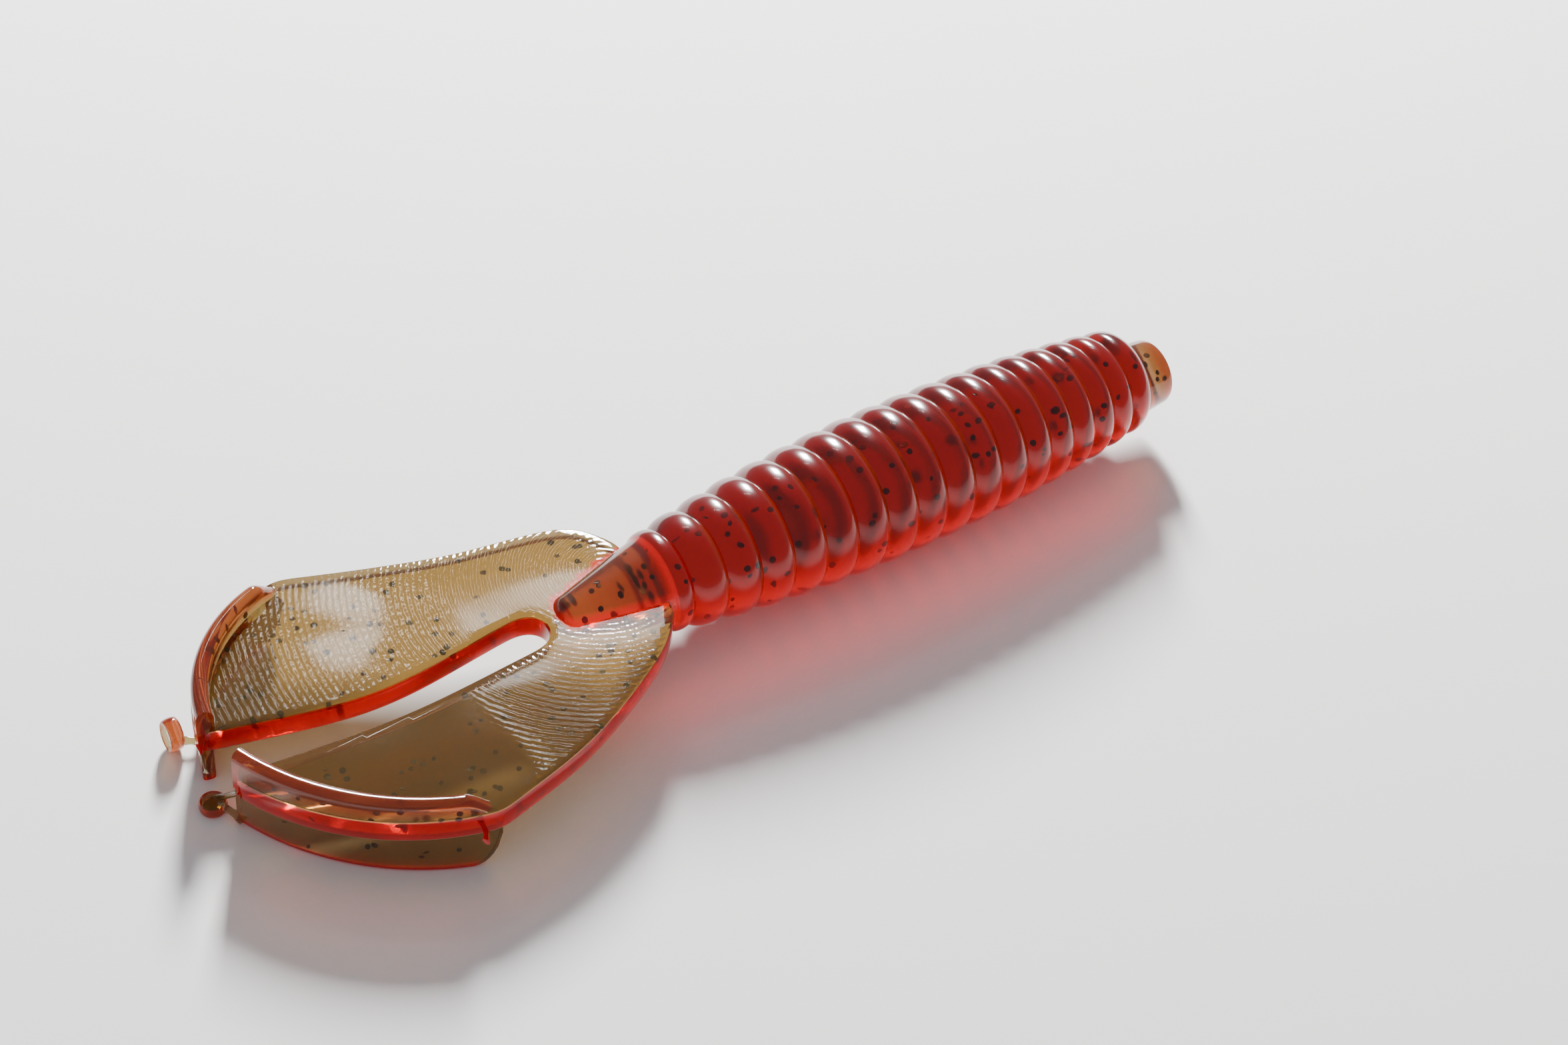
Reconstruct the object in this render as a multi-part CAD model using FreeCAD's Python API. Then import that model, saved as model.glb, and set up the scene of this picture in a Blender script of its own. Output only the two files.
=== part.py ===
import FreeCAD, Part

import os
from math import atan, cos, degrees, radians, tan

# Soft plastic worm: a ribbed round body, a short nose stub where the pour gate was cut,
# and two flat tails, each ending in an upright crescent rim.
# Millimetres. +X runs forward to the nose, +Y is the left side, +Z is up.
# Inside this script x = 0 is near the tip of the tail cone and the belly rests on z = 0.
# The last step moves the origin to the middle of the footprint.
# The real worm is one soft moulding that bends anywhere. Here its creases and tail roots are the
# hinges, and a thin soft web in each hinge slot is the material that gives.

Vec = FreeCAD.Vector
along_x, along_y, along_z = Vec(1, 0, 0), Vec(0, 1, 0), Vec(0, 0, 1)
far_off = 200.0           # bigger than the worm, for half spaces

# Ribbed body
body_start = 11.1         # x of the crease between the collar and the last ring
even_rings = 9            # rings of full pitch, counted from the tail
closing_rings = 8         # rings that get shorter towards the nose
ring_pitch = 3.32
nose_pitch = 2.5          # length of the ring next to the nose
body_radius = 7.0         # crest radius at the fattest ring
tail_end_radius = 4.95    # crest radius where the body meets the collar
nose_end_radius = 5.0     # crest radius where the body meets the nose stub
fattest_at = 0.47         # share of the ribbed length, from the tail
tail_taper_power = 2.0
nose_taper_power = 2.2
crease_depth = 0.6

# Nose stub, collar and tail cone
nose_length = 4.1
nose_root_radius = 3.6
nose_face_radius = 3.3
nose_drop = 0.9           # how far the stub's axis lies below the body's axis
collar_length = 2.0
collar_rise = 0.35        # bulge of the collar above the crease beside it
cone_nose_x = -0.5        # the rounded rear tip of the cone
cone_flank_x = 1.0        # where the straight flank starts
cone_flank_radius = 2.25
cone_tip_along = 0.27     # point on the rounded tip, as shares of its length and radius
cone_tip_out = 0.6
cone_base_radius = 4.3

# Tails: flat plates that fall a little towards their tips
plate_thickness = 2.4
plate_root_height = 6.8   # middle of the plate at x = 0
plate_fall = 2.0 / 30.0   # drop of the plate per length, towards the tip
plate_start = 8.6         # x where the outer edge leaves the cone
plate_shoulder = 0.6      # how far the outer edge starts outside the cone
slit_middle = -0.1        # y of the middle of the slit between the tails
slit_half_width = 2.0     # at the root of the slit
slit_end = -1.4           # x of the slit's rounded end
rim_thickness = 1.6
rim_top = 8.4             # height of the crescent rim above the ground
rim_overrun = 4.0         # degrees that the room for a rim runs on past the rim's end

# Edges as shares of each tail's own reach (backwards) and spread (outwards)
tails = {
    "right": {
        "side": -1, "reach": 31.6, "spread": 15.4,
        "outer_edge": [(-0.14, 0.56), (0.16, 0.85), (0.475, 1.0)],
        "rim_middle": (0.81, 0.604), "rim_end": (1.0, -0.013),
        "inner_middle": (0.54, 0.13),
    },
    "left": {
        "side": 1, "reach": 32.0, "spread": 17.6,
        "outer_edge": [(-0.17, 0.51), (0.13, 0.665), (0.344, 0.815), (0.572, 1.0)],
        "rim_middle": (0.8625, 0.761), "rim_end": (1.0, 0.318),
        "inner_middle": (0.55, 0.085),
    },
}

# Vent stubs left by the mould, and the thin necks that join them to the rims
left_vent = {"x": -32.2, "y": 10.2, "radius": 1.3, "height": 3.5}
right_vent = {"x": -32.4, "y": 2.5, "radius": 1.25, "height": 1.0}
neck_width = 1.3
neck_height = 0.8
neck_bite = 0.33          # how far the neck reaches into the rim, as a share of its thickness

# How far each hinge bends, either way, in degrees
body_bend = 10.0
flap_bend = 35.0
curl_bend = 40.0
hinge_clearance = 0.1
flap_x = -5.6             # x of each tail's first hinge, and of its second
curl_x = -11.2

# The head keeps three rings, then every hinge lies two rings further back
ring_count = even_rings + closing_rings
head_rings = 3
rings_per_segment = 2

body_axis_height = body_radius
plate_tilt = degrees(atan(plate_fall))


def ring_creases():
    """x of every crease, from the collar forward."""
    creases = [body_start]
    for _ in range(even_rings):
        creases.append(creases[-1] + ring_pitch)
    for k in range(1, closing_rings + 1):
        creases.append(creases[-1] + ring_pitch + (nose_pitch - ring_pitch) * k / closing_rings)
    return creases


creases = ring_creases()
body_end = creases[-1]


def crest_radius(x):
    """Radius of the smooth envelope that the ring crests touch."""
    s = (x - body_start) / (body_end - body_start)
    if s < fattest_at:
        share, power, end = (fattest_at - s) / fattest_at, tail_taper_power, tail_end_radius
    else:
        share, power, end = (s - fattest_at) / (1 - fattest_at), nose_taper_power, nose_end_radius
    return body_radius - (body_radius - end) * share ** power


def crease_radius(x):
    return crest_radius(x) - crease_depth


def rod(x0, x1, radius):
    """A round bar along the body's axis."""
    return Part.makeCylinder(radius, x1 - x0, Vec(x0, 0, body_axis_height), along_x)


def turned(edges):
    """The solid that a closed profile makes when it turns about the body's axis."""
    face = Part.Face(Part.Wire(edges))
    solid = face.revolve(Vec(0, 0, body_axis_height), along_x, 360)
    return Part.Solid(solid) if solid.ShapeType == "Shell" else solid


def lobe(x0, r0, x1, r1, crest):
    """A ring of the body: one rounded lobe between two creases."""
    z = body_axis_height
    start, end = Vec(x0, 0, z + r0), Vec(x1, 0, z + r1)
    middle = Vec((x0 + x1) / 2, 0, z + crest)
    return turned([
        Part.LineSegment(Vec(x0, 0, z), start).toShape(),
        Part.Arc(start, middle, end).toShape(),
        Part.LineSegment(end, Vec(x1, 0, z)).toShape(),
        Part.LineSegment(Vec(x1, 0, z), Vec(x0, 0, z)).toShape(),
    ])


def hinge_slot(half_height, bend):
    """Width of a slot whose two faces just clear each other at the full bend."""
    return 2 * half_height * tan(radians(bend / 2)) + hinge_clearance


# A crease is a hinge when it closes the head or a whole segment. Rings count from the nose,
# and crease k lies behind ring k.
def crease_behind(ring):
    return creases[ring_count - ring]


hinge_rings = list(range(head_rings, ring_count, rings_per_segment))


def slot_at(ring):
    """Width of the hinge slot behind a ring, 0 where there is no hinge."""
    if ring not in hinge_rings:
        return 0.0
    return hinge_slot(crest_radius(crease_behind(ring)), body_bend)


def make_ring(ring):
    x0, x1 = crease_behind(ring), crease_behind(ring - 1)
    solid = lobe(x0, crease_radius(x0), x1, crease_radius(x1), crest_radius((x0 + x1) / 2))
    room = rod(x0 + slot_at(ring) / 2, x1 - slot_at(ring - 1) / 2, body_radius * 2)
    return solid.common(room)


def make_crease_web(ring):
    x, half = crease_behind(ring), slot_at(ring) / 2
    return rod(x - half, x + half, crease_radius(x))


def make_nose_stub():
    z = body_axis_height - nose_drop
    return Part.makeCone(nose_root_radius, nose_face_radius, nose_length, Vec(body_end, 0, z), along_x)


collar_start = body_start - collar_length


def make_collar():
    return lobe(collar_start, cone_base_radius, body_start, crease_radius(body_start),
                crease_radius(body_start) + collar_rise)


def make_cone():
    z = body_axis_height
    tip, flank = Vec(cone_nose_x, 0, z), Vec(cone_flank_x, 0, z + cone_flank_radius)
    shoulder_x = cone_nose_x + cone_tip_along * (cone_flank_x - cone_nose_x)
    shoulder = Vec(shoulder_x, 0, z + cone_tip_out * cone_flank_radius)
    base = Vec(collar_start, 0, z + cone_base_radius)
    return turned([
        Part.Arc(tip, shoulder, flank).toShape(),
        Part.LineSegment(flank, base).toShape(),
        Part.LineSegment(base, Vec(collar_start, 0, z)).toShape(),
        Part.LineSegment(Vec(collar_start, 0, z), tip).toShape(),
    ])


def plate_middle(x):
    """Height of the middle of the tail plates."""
    return plate_root_height + plate_fall * x


def tilted(solid):
    """A flat shape made about z = 0, laid along the falling tail plates."""
    solid.rotate(Vec(0, 0, 0), along_y, -plate_tilt)
    solid.translate(Vec(0, 0, plate_root_height))
    return solid


def slab(x0, x1):
    """All the space between two planes across the worm."""
    return Part.makeBox(x1 - x0, 2 * far_off, 2 * far_off, Vec(x0, -far_off, -far_off))


def on_plan(tail, share):
    return Vec(-share[0] * tail["reach"], tail["side"] * share[1] * tail["spread"], 0)


def curve_through(points):
    spline = Part.BSplineCurve()
    spline.interpolate(points)
    return spline.toShape()


def rim_arc(tail):
    """The rim's outer face on plan: start, middle, end, and the centre of its arc."""
    shares = (tail["outer_edge"][-1], tail["rim_middle"], tail["rim_end"])
    start, middle, end = (on_plan(tail, share) for share in shares)
    return start, middle, end, Part.Arc(start, middle, end).toShape().Curve.Center


def make_plate(tail):
    """The whole flat tail on plan, as if it had no hinges."""
    start, middle, end, _ = rim_arc(tail)
    side = tail["side"]
    shoulder = Vec(plate_start, side * (cone_base_radius + plate_shoulder), 0)
    slit_root = Vec(slit_end, slit_middle, 0)
    slit_corner = Vec(slit_end - slit_half_width, slit_middle + side * slit_half_width, 0)
    diagonal = cos(radians(45)) * slit_half_width
    slit_bend = Vec(slit_end - slit_half_width + diagonal, slit_middle + side * diagonal, 0)
    axis_end = Vec(plate_start, slit_middle, 0)
    outer = [shoulder] + [on_plan(tail, s) for s in tail["outer_edge"]]
    outline = Part.Wire([
        curve_through(outer),
        Part.Arc(start, middle, end).toShape(),
        curve_through([end, on_plan(tail, tail["inner_middle"]), slit_corner]),
        Part.Arc(slit_corner, slit_bend, slit_root).toShape(),
        Part.LineSegment(slit_root, axis_end).toShape(),
        Part.LineSegment(axis_end, shoulder).toShape(),
    ])
    flat = Part.Face(outline).extrude(Vec(0, 0, plate_thickness))
    flat.translate(Vec(0, 0, -plate_thickness / 2))
    return tilted(flat)


def swept_along_rim(tail, section, overrun=0.0):
    """A section swept along the rim's arc. It turns about the arc's upright centre line."""
    start, middle, end, centre = rim_arc(tail)
    turn = degrees((start - centre).getAngle(middle - centre) + (middle - centre).getAngle(end - centre))
    way = 1 if (start - centre).cross(end - centre).z > 0 else -1
    outward = (start - centre).normalize()
    edges = []
    for points in section:
        placed = [start + outward * out + along_z * z for out, z in points]
        make = Part.Arc if len(placed) == 3 else Part.LineSegment
        edges.append(make(*placed).toShape())
    swept = Part.Face(Part.Wire(edges)).revolve(centre, along_z, way * (turn + overrun))
    return Part.Solid(swept) if swept.ShapeType == "Shell" else swept


def straight_section(inner, outer, bottom, top):
    corners = [(inner, bottom), (outer, bottom), (outer, top), (inner, top), (inner, bottom)]
    return list(zip(corners, corners[1:]))


def rim_split(tail):
    """Height where skirt and lip meet: the middle of the plate halfway along the rim."""
    return plate_middle(on_plan(tail, tail["rim_middle"]).x)


def make_skirt(tail):
    """The part of the crescent rim under the plate, down to the ground."""
    return swept_along_rim(tail, straight_section(-rim_thickness, 0, 0, rim_split(tail)))


def make_lip(tail):
    """The part of the rim that stands above the plate, with a round top."""
    bottom, shoulder = rim_split(tail), rim_top - rim_thickness / 2
    return swept_along_rim(tail, [
        [(-rim_thickness, bottom), (0, bottom)],
        [(0, bottom), (0, shoulder)],
        [(0, shoulder), (-rim_thickness / 2, rim_top), (-rim_thickness, shoulder)],
        [(-rim_thickness, shoulder), (-rim_thickness, bottom)],
    ])


def rim_room(tail):
    """The space that the rim takes from the plate, and all that lies beyond it."""
    section = straight_section(-rim_thickness, rim_thickness, -rim_top, 2 * rim_top)
    return swept_along_rim(tail, section, overrun=rim_overrun)


def make_vent(vent):
    return Part.makeCylinder(vent["radius"], vent["height"], Vec(vent["x"], vent["y"], 0), along_z)


def make_neck(vent, skirt):
    """The thin strip that joins a vent stub to the nearest point of its rim."""
    here = Vec(vent["x"], vent["y"], 0)
    there = skirt.distToShape(Part.Vertex(here))[1][0][0]
    away = (there - here).normalize()
    across = Vec(-away.y, away.x, 0) * (neck_width / 2)
    reach = there + away * (neck_bite * rim_thickness)
    corners = [here + across, here - across, reach - across, reach + across, here + across]
    strip = Part.Face(Part.makePolygon(corners)).extrude(Vec(0, 0, neck_height))
    return strip.cut(skirt).cut(make_vent(vent))


def make_tail(name, tail, vent, cone):
    """Every piece of one tail, with the slots of its two hinges left open for the webs."""
    plate, skirt = make_plate(tail), make_skirt(tail)
    flap_half = hinge_slot(plate_thickness / 2, flap_bend) / 2
    curl_half = hinge_slot(plate_thickness / 2, curl_bend) / 2
    outer_blade = plate.common(slab(-far_off, curl_x - curl_half)).cut(rim_room(tail))
    return {
        name + "_tail_root": plate.common(slab(flap_x + flap_half, far_off)).cut(cone),
        name + "_flap_web": plate.common(slab(flap_x - flap_half, flap_x + flap_half)),
        name + "_tail_inner_blade": plate.common(slab(curl_x + curl_half, flap_x - flap_half)),
        name + "_curl_web": plate.common(slab(curl_x - curl_half, curl_x + curl_half)),
        name + "_tail_outer_blade": outer_blade,
        name + "_rim_skirt": skirt,
        name + "_rim_lip": make_lip(tail),
        name + "_vent_stub": make_vent(vent),
        name + "_vent_neck": make_neck(vent, skirt),
    }


def whole(shape):
    """One clean solid, or a compound of them."""
    solids = [Part.Solid(s.Shells[0]) if len(s.Shells) == 1 else s for s in shape.Solids]
    return solids[0] if len(solids) == 1 else Part.makeCompound(solids)


nodes = {"nose_stub": make_nose_stub()}
for ring in range(1, ring_count + 1):
    nodes["ring_%02d" % ring] = make_ring(ring)
for ring in hinge_rings:
    nodes["crease_web_%02d" % ring] = make_crease_web(ring)
nodes["collar"] = make_collar()
nodes["tail_cone"] = make_cone()
for name, vent in (("right", right_vent), ("left", left_vent)):
    nodes.update(make_tail(name, tails[name], vent, nodes["tail_cone"]))

box = Part.makeCompound(list(nodes.values())).optimalBoundingBox(False)
to_origin = Vec(-(box.XMin + box.XMax) / 2, -(box.YMin + box.YMax) / 2, -box.ZMin)
os.makedirs("parts", exist_ok=True)
for name, shape in nodes.items():
    shape = whole(shape)
    shape.translate(to_origin)
    shape.exportStep("parts/%s.step" % name)
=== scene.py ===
import random
from bisect import bisect
from math import atan2, cos, inf, isfinite, pi, radians, sin, sqrt, tau

import bmesh
import bpy
from mathutils import Matrix, Vector
from mathutils.geometry import delaunay_2d_cdt
from mathutils.kdtree import KDTree


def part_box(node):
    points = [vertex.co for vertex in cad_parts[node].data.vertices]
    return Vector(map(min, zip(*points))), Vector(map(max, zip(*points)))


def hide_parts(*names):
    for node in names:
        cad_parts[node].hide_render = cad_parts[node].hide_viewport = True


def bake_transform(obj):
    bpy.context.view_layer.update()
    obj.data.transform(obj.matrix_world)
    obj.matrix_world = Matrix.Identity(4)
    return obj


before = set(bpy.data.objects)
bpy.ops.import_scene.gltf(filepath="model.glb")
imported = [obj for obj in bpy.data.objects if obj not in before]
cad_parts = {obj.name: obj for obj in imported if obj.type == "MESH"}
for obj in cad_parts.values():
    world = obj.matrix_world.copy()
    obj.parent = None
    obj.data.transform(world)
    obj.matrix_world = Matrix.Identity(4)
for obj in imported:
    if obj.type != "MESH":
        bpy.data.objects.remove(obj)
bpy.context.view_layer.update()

mm = 0.001


def boxOf(node):
    low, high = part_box(node)
    return low / mm, high / mm


# Lengths are in millimetres along the worm's own axes: x runs forward from the fork of the tails,
# y to the left of the body's axis, z up from the ground.
coneLow = boxOf("tail_cone")[0]
fattestLow, fattestHigh = boxOf("ring_10")
coneNose = -0.5  # the cone ends a little behind the fork
forkX = coneLow.x - coneNose
middleY = (fattestLow.y + fattestHigh.y) / 2
axisZ = (fattestLow.z + fattestHigh.z) / 2
ringCount = 17
hingeRings = range(3, ringCount, 2)  # the creases behind these rings are hinges
seamRings = range(4, ringCount - 1, 2)  # and the skins meet at the creases behind these
toFrame = Matrix.Translation((forkX * mm, middleY * mm, 0)) @ Matrix.Scale(mm, 4)


def framePoint(x, y=0.0, z=axisZ):
    return tuple(toFrame @ Vector((x, y, z)))


def creaseBehind(ring):
    if ring == 0:
        return boxOf("ring_01")[1].x - forkX
    if ring in hingeRings:
        low, high = boxOf("crease_web_%02d" % ring)
        return (low.x + high.x) / 2 - forkX
    return boxOf("ring_%02d" % ring)[0].x - forkX


def halfHeight(node):
    low, high = boxOf(node)
    return (high.z - low.z) / 2


def clamped(value, low=0.0, high=1.0):
    return min(max(value, low), high)


creases = [creaseBehind(ring) for ring in range(ringCount + 1)]
crests = [halfHeight("ring_%02d" % ring) for ring in range(1, ringCount + 1)]
collarX = boxOf("collar")[0].x - forkX
coneBase = halfHeight("tail_cone")


# One socket of a material, so that shader maths reads as plain expressions
class Signal:
    def __init__(self, finish, socket):
        self.finish = finish
        self.socket = socket

    def maths(self, operation, first, second):
        return self.finish.add("ShaderNodeMath", {"operation": operation}, {0: first, 1: second})

    def __add__(self, other):
        return self.maths("ADD", self, other)

    def __radd__(self, other):
        return self.maths("ADD", other, self)

    def __sub__(self, other):
        return self.maths("SUBTRACT", self, other)

    def __rsub__(self, other):
        return self.maths("SUBTRACT", other, self)

    def __mul__(self, other):
        return self.maths("MULTIPLY", self, other)

    def __rmul__(self, other):
        return self.maths("MULTIPLY", other, self)

    def __truediv__(self, other):
        return self.maths("DIVIDE", self, other)

    def __rtruediv__(self, other):
        return self.maths("DIVIDE", other, self)


class Finish:
    def __init__(self, name):
        self.material = bpy.data.materials.new(name)
        self.material.use_nodes = True
        self.tree = self.material.node_tree
        self.shader = self.tree.nodes["Principled BSDF"]

    def feed(self, node, inputs):
        for key, value in inputs.items():
            if isinstance(value, Signal):
                self.tree.links.new(value.socket, node.inputs[key])
            else:
                node.inputs[key].default_value = value

    # Any node: its settings first, then the values or links of its sockets
    def add(self, kind, settings=None, inputs=None, output=0):
        node = self.tree.nodes.new(kind)
        for key, value in (settings or {}).items():
            if key == "stops":
                self.setStops(node.color_ramp, value)
            else:
                setattr(node, key, value)
        self.feed(node, inputs or {})
        return Signal(self, node.outputs[output])

    def setStops(self, ramp, stops):
        while len(ramp.elements) < len(stops):
            ramp.elements.new(0.5)
        for element, (place, colour) in zip(ramp.elements, stops):
            element.position = place
            element.color = colour

    # Another output of the node that a signal comes from
    def of(self, signal, output):
        return Signal(self, signal.socket.node.outputs[output])

    def ramp(self, factor, stops):
        return self.add("ShaderNodeValToRGB", {"stops": stops}, {"Fac": factor})

    def mixColour(self, factor, first, second):
        return self.add("ShaderNodeMix", {"data_type": "RGBA"}, {0: factor, 6: first, 7: second}, output=2)

    def step(self, value, low, high):
        return self.add("ShaderNodeMapRange", {"interpolation_type": "SMOOTHSTEP"},
                        {"Value": value, "From Min": low, "From Max": high})

    def noise(self, where, scale, detail=2.0):
        return self.add("ShaderNodeTexNoise", {}, {"Vector": where, "Scale": scale, "Detail": detail})


def newPiece(name, mesh, material):
    piece = bpy.data.objects.new(name, mesh)
    bpy.context.scene.collection.objects.link(piece)
    mesh.materials.clear()
    mesh.materials.append(material)
    return piece


def meshOf(name, vertices, faces):
    mesh = bpy.data.meshes.new(name)
    mesh.from_pydata([tuple(v) for v in vertices], [], faces)
    mesh.validate()
    return mesh


# Faces between rows of points, each row a closed ring, with both ends capped
def loft(name, rows):
    steps = len(rows[0])
    vertices = [point for row in rows for point in row]
    faces = []
    for k in range(len(rows) - 1):
        for i in range(steps):
            j = (i + 1) % steps
            faces.append((k * steps + i, k * steps + j, (k + 1) * steps + j, (k + 1) * steps + i))
    faces.append(tuple(reversed(range(steps))))
    last = (len(rows) - 1) * steps
    faces.append(tuple(last + i for i in range(steps)))
    mesh = meshOf(name, vertices, faces)
    faceOutward(mesh)
    return mesh


def faceOutward(mesh):
    bm = bmesh.new()
    bm.from_mesh(mesh)
    bmesh.ops.recalc_face_normals(bm, faces=bm.faces)
    bm.to_mesh(mesh)
    bm.free()


body = {
    "stepsAround": 128,
    "rowsPerRing": 18,
    "creaseDepth": 0.6,
    "lobeFullness": 2.3,
    "collarBulge": 0.35,
    "coneFlankX": 1.0,
    "coneFlankRadius": 2.25,
    "coneTipRows": 12,
    "coneRows": 16,
    "stubRootRadius": 3.6,
    "stubFaceRadius": 3.3,
    "stubDrop": 0.9,
    "stubRows": 8,
    # rows from the first ring to the stub: forward, radius over the stub's root, share of the drop
    "stubFillet": [(0.2, 0.25, 0.75), (0.35, 0.08, 1.0)],
    "stubFaceRound": 0.08,
}


def creaseRadii():
    envelope = [crests[0] + (crests[0] - crests[1]) / 2]
    envelope += [(a + b) / 2 for a, b in zip(crests, crests[1:])]
    envelope.append(crests[-1] + (crests[-1] - crests[-2]) / 2)
    return [radius - body["creaseDepth"] for radius in envelope]


# Rows of one ring as x and radius, swelling from crease to crest and back
def lobeRows(x0, r0, x1, r1, crest, rows):
    found = []
    for k in range(rows):
        t = k / rows
        base = r0 + (r1 - r0) * t
        swell = 1 - abs(2 * t - 1) ** body["lobeFullness"]
        found.append((x0 + (x1 - x0) * t, base + (crest - (r0 + r1) / 2) * swell))
    return found


def coneProfile():
    flankX, flankRadius = body["coneFlankX"], body["coneFlankRadius"]
    rows = []
    for k in range(1, body["coneTipRows"] + 1):
        angle = pi / 2 * k / body["coneTipRows"]
        rows.append((coneNose + (flankX - coneNose) * (1 - cos(angle)), flankRadius * sin(angle)))
    for k in range(1, body["coneRows"]):
        t = k / body["coneRows"]
        rows.append((flankX + (collarX - flankX) * t, flankRadius + (coneBase - flankRadius) * t))
    return rows


def stubProfile(creaseRadius):
    noseX, faceX = creases[0], boxOf("nose_stub")[1].x - forkX
    root, face, drop = body["stubRootRadius"], body["stubFaceRadius"], body["stubDrop"]
    edge = body["stubFaceRound"]
    rows = [(noseX, creaseRadius, 0.0), (noseX + 0.12, creaseRadius - 0.12, drop * 0.1)]
    rows += [(noseX + forward, root + over, drop * share) for forward, over, share in body["stubFillet"]]
    startX, endX = noseX + 0.6, faceX - 0.25
    for k in range(body["stubRows"] + 1):
        t = k / body["stubRows"]
        rows.append((startX + (endX - startX) * t, root + (face - root) * t, drop))
    rows.append((faceX - edge, face - edge, drop))
    rows.append((faceX, face - 0.3, drop))
    rows.append((faceX, face * 0.5, drop))
    return rows


# Rows from tail to nose as x, radius and drop of the centre
def bodyProfile():
    radii = creaseRadii()
    rows = coneProfile()
    rows += lobeRows(collarX, coneBase, creases[ringCount], radii[ringCount],
                     radii[ringCount] + body["collarBulge"], body["rowsPerRing"])
    for ring in range(ringCount, 0, -1):
        rows += lobeRows(creases[ring], radii[ring], creases[ring - 1], radii[ring - 1],
                         crests[ring - 1], body["rowsPerRing"])
    return [(x, radius, 0.0) for x, radius in rows] + stubProfile(radii[0])


def ringOf(x, radius, drop):
    angles = [tau * i / body["stepsAround"] for i in range(body["stepsAround"])]
    return [(x, radius * cos(angle), axisZ - drop + radius * sin(angle)) for angle in angles]


def makeBody():
    return loft("body", [ringOf(*row) for row in bodyProfile()])


plate = {
    "thickness": 2.4,
    "rootHeight": 6.8,
    "fall": 2.0 / 30.0,
    "start": 8.6,
    "shoulder": 0.6,
    "slitMiddle": -0.1,
    "slitHalfWidth": 2.0,
    "slitEnd": -1.4,
    "edgeRound": 0.22,
    "outlineStep": 0.3,
    "softening": 14,
    "gridStep": 0.55,
    "ripple": 0.007,
}
rim = {
    "thickness": 1.6,
    "top": 8.4,
    "lipInset": 0.12,
    "lipSunk": 0.3,
    "lipRun": 3.2,
    "lipLeast": 0.05,
    "skirtInset": 0.25,
    "skirtThickness": 1.1,
    "skirtRun": 2.6,
    "skirtLeast": 0.03,
    "footRound": 0.35,
    "stations": 60,
}
# Edges of each tail as shares of its reach, backwards, and its spread, outwards
tails = {
    "right": {
        "side": -1, "reach": 31.6, "spread": 15.4,
        "outerEdge": [(-0.14, 0.56), (0.16, 0.85), (0.475, 1.0)],
        "rimMiddle": (0.81, 0.604), "rimEnd": (1.0, -0.013), "innerMiddle": (0.54, 0.13),
    },
    "left": {
        "side": 1, "reach": 32.0, "spread": 17.6,
        "outerEdge": [(-0.17, 0.51), (0.13, 0.665), (0.344, 0.815), (0.572, 1.0)],
        "rimMiddle": (0.8625, 0.761), "rimEnd": (1.0, 0.318), "innerMiddle": (0.55, 0.085),
    },
}


def onPlan(tail, share):
    return Vector((-share[0] * tail["reach"], tail["side"] * share[1] * tail["spread"]))


# A smooth curve that passes through every point
def curveThrough(points, steps):
    ends = [points[0] * 2 - points[1]] + list(points) + [points[-1] * 2 - points[-2]]
    found = []
    for a, b, c, d in zip(ends, ends[1:], ends[2:], ends[3:]):
        for k in range(steps):
            t = k / steps
            found.append(0.5 * ((2 * b) + (c - a) * t + (2 * a - 5 * b + 4 * c - d) * t * t
                                + (3 * b - a - 3 * c + d) * t ** 3))
    return found


def bearing(arm):
    return atan2(arm.y, arm.x)


# The circle through three points of the rim, as centre, radius, first angle and turn
def rimArc(tail):
    start = onPlan(tail, tail["outerEdge"][-1])
    middle = onPlan(tail, tail["rimMiddle"])
    end = onPlan(tail, tail["rimEnd"])
    ax, ay = middle - start
    bx, by = end - start
    d = 2 * (ax * by - ay * bx)
    toCentreX = (by * (ax * ax + ay * ay) - ay * (bx * bx + by * by)) / d
    toCentreY = (ax * (bx * bx + by * by) - bx * (ax * ax + ay * ay)) / d
    centre = start + Vector((toCentreX, toCentreY))
    first = bearing(start - centre)
    turn = (bearing(end - centre) - first) % tau
    if (bearing(middle - centre) - first) % tau > turn:  # the way round that passes the middle point
        turn -= tau
    return centre, (start - centre).length, first, turn


def rimPoint(arc, share, inset=0.0):
    centre, radius, first, turn = arc
    angle = first + turn * share
    return centre + Vector((cos(angle), sin(angle))) * (radius - inset)


def plateMiddle(x):
    return plate["rootHeight"] + plate["fall"] * x


# Outline of one tail, from its shoulder round to the closed end of the slit
def tailOutline(tail):
    shoulder = Vector((plate["start"], tail["side"] * (coneBase + plate["shoulder"])))
    outer = curveThrough([shoulder] + [onPlan(tail, share) for share in tail["outerEdge"]], 26)
    arc = rimArc(tail)
    rimPoints = [rimPoint(arc, k / 70) for k in range(70)]
    half, middle = plate["slitHalfWidth"], plate["slitMiddle"]
    corner = Vector((plate["slitEnd"] - half, middle + tail["side"] * half))
    inner = curveThrough([onPlan(tail, tail["rimEnd"]), onPlan(tail, tail["innerMiddle"]), corner], 36)
    angles = [pi / 2 * k / 12 for k in range(13)]
    slit = [Vector((plate["slitEnd"] - half + half * sin(angle), middle + tail["side"] * half * cos(angle)))
            for angle in angles]
    return outer + rimPoints + inner + slit


# A closed outline with points at an even step and its corners softened
def evened(outline, step, passes):
    closed = outline + outline[:1]
    lengths = [0.0]
    for a, b in zip(closed, closed[1:]):
        lengths.append(lengths[-1] + (b - a).length)
    count = int(lengths[-1] / step)
    found = []
    k = 0
    for i in range(count):
        want = lengths[-1] * i / count
        while lengths[k + 1] < want:
            k += 1
        share = (want - lengths[k]) / max(lengths[k + 1] - lengths[k], 1e-9)
        found.append(closed[k].lerp(closed[k + 1], share))
    for _ in range(passes):
        found = [(found[i - 1] + found[i] * 2 + found[(i + 1) % count]) / 4 for i in range(count)]
    return found


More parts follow.
